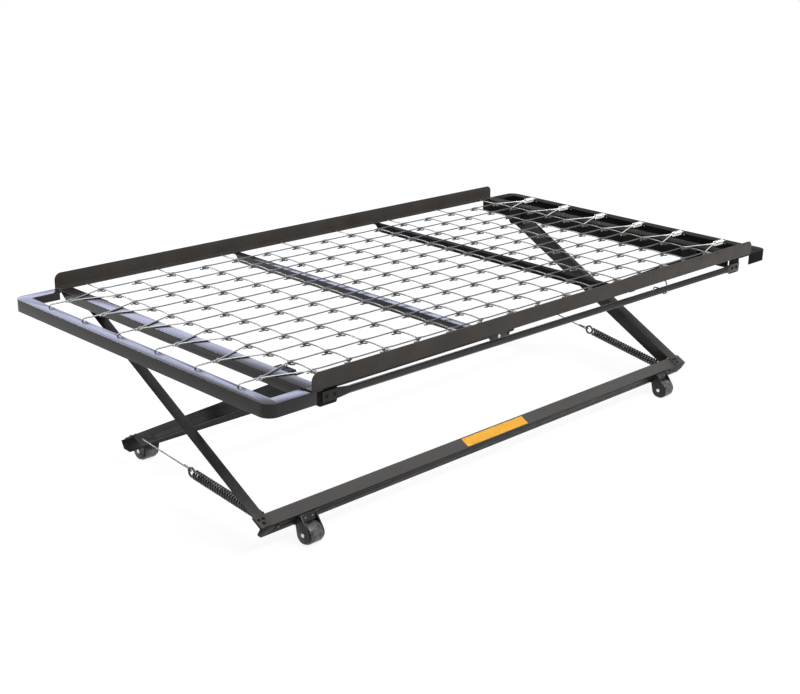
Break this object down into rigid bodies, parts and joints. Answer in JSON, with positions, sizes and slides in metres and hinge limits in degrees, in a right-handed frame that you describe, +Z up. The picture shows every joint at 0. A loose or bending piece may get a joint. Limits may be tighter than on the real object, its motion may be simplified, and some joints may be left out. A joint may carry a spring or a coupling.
{
  "type": "pop-up trundle bed frame",
  "caption": "Raised pop-up trundle bed frame: link-wire deck in angle-steel rails on two crossing leg frames with casters and tension springs.",
  "frame": {"origin": "middle of the footprint, on the floor", "axes": "+X along the bed, +Y towards the back side rail, +Z up"},
  "size_m": [1.895, 0.98, 0.4921],
  "materials": {
    "black_steel": "satin",
    "fork_steel": "satin",
    "galvanised_wire": "satin",
    "spring_steel": "satin",
    "wheel_rubber": "matte"
  },
  "bodies": {
    "deck": {"end_angle_left": "black_steel", "end_angle_right": "black_steel", "front_side_rail": "black_steel", "back_side_rail": "black_steel", "cross_angle_left": "black_steel", "cross_angle_right": "black_steel", "middle_cross_left": "black_steel", "middle_cross_right": "black_steel", "link_wires": "galvanised_wire", "left_end_ties": "galvanised_wire", "right_end_springs": "galvanised_wire", "front_side_springs": "galvanised_wire", "back_side_hooks": "galvanised_wire", "stay_tube": "black_steel", "stay_bracket_left": "black_steel", "stay_bracket_right": "black_steel", "front_pivot_strap_left": "black_steel", "front_pivot_strap_right": "black_steel", "rear_pivot_strap_left": "black_steel", "rear_pivot_strap_right": "black_steel"},
    "front_legs": {"front_low_rail": "black_steel", "front_leg_left": "black_steel", "front_leg_right": "black_steel", "front_caster_fork_left": "fork_steel", "front_caster_fork_right": "fork_steel"},
    "front_left_wheel": {"front_wheel_left": "wheel_rubber"},
    "front_right_wheel": {"front_wheel_right": "wheel_rubber"},
    "rear_legs": {"rear_low_rail": "black_steel", "rear_leg_left": "black_steel", "rear_leg_right": "black_steel", "rear_caster_fork_left": "fork_steel", "rear_caster_fork_right": "fork_steel"},
    "rear_left_wheel": {"rear_wheel_left": "wheel_rubber"},
    "rear_right_wheel": {"rear_wheel_right": "wheel_rubber"},
    "left_spring": {"left_spring_coil": "spring_steel"},
    "left_rod": {"left_spring_rod": "spring_steel"},
    "right_spring": {"right_spring_coil": "spring_steel"},
    "right_rod": {"right_spring_rod": "spring_steel"}
  },
  "joints": [
    {"name": "front_leg_hinge", "type": "hinge", "parent": "deck", "child": "front_legs", "pos_m": [0, 0.34042, 0.40939], "axis": [1, 0, 0], "range_deg": [-24, 0], "stiffness_Nm_per_rad": 100, "springref_deg": 57.3},
    {"name": "rear_leg_hinge", "type": "hinge", "parent": "deck", "child": "rear_legs", "pos_m": [0, -0.34042, 0.40939], "axis": [1, 0, 0], "range_deg": [0, 24], "stiffness_Nm_per_rad": 100, "springref_deg": -57.3},
    {"name": "front_wheel_left_spin", "type": "hinge", "parent": "front_legs", "child": "front_left_wheel", "pos_m": [-0.688, -0.32504, 0.025], "axis": [1, 0, 0], "continuous": true},
    {"name": "front_wheel_right_spin", "type": "hinge", "parent": "front_legs", "child": "front_right_wheel", "pos_m": [0.718, -0.32504, 0.025], "axis": [1, 0, 0], "continuous": true},
    {"name": "rear_wheel_left_spin", "type": "hinge", "parent": "rear_legs", "child": "rear_left_wheel", "pos_m": [-0.688, 0.32504, 0.025], "axis": [1, 0, 0], "continuous": true},
    {"name": "rear_wheel_right_spin", "type": "hinge", "parent": "rear_legs", "child": "rear_right_wheel", "pos_m": [0.718, 0.32504, 0.025], "axis": [1, 0, 0], "continuous": true},
    {"name": "left_spring_hinge", "type": "hinge", "parent": "front_legs", "child": "left_spring", "pos_m": [-0.776, -0.30667, 0.06399], "axis": [1, 0, 0], "range_deg": [0, 19.17]},
    {"name": "left_rod_slide", "type": "slide", "parent": "left_spring", "child": "left_rod", "axis": [0, 0.9962, 0.0872], "range_m": [0, 0.1573], "deforming": ["left_spring_coil"]},
    {"name": "right_spring_hinge", "type": "hinge", "parent": "front_legs", "child": "right_spring", "pos_m": [0.776, -0.30667, 0.06399], "axis": [1, 0, 0], "range_deg": [0, 14.91]},
    {"name": "right_rod_slide", "type": "slide", "parent": "right_spring", "child": "right_rod", "axis": [0, 0.9855, 0.1695], "range_m": [0, 0.1445], "deforming": ["right_spring_coil"]}
  ],
  "couplings": [
    {"joint": "rear_leg_hinge", "follows": "front_leg_hinge", "ratio": -1},
    {"joint": "left_spring_hinge", "follows": "front_leg_hinge", "ratio": -0.79795},
    {"joint": "left_rod_slide", "follows": "front_leg_hinge", "m_per_rad": -0.37512},
    {"joint": "right_spring_hinge", "follows": "front_leg_hinge", "ratio": -0.62056},
    {"joint": "right_rod_slide", "follows": "front_leg_hinge", "m_per_rad": -0.34466}
  ]
}
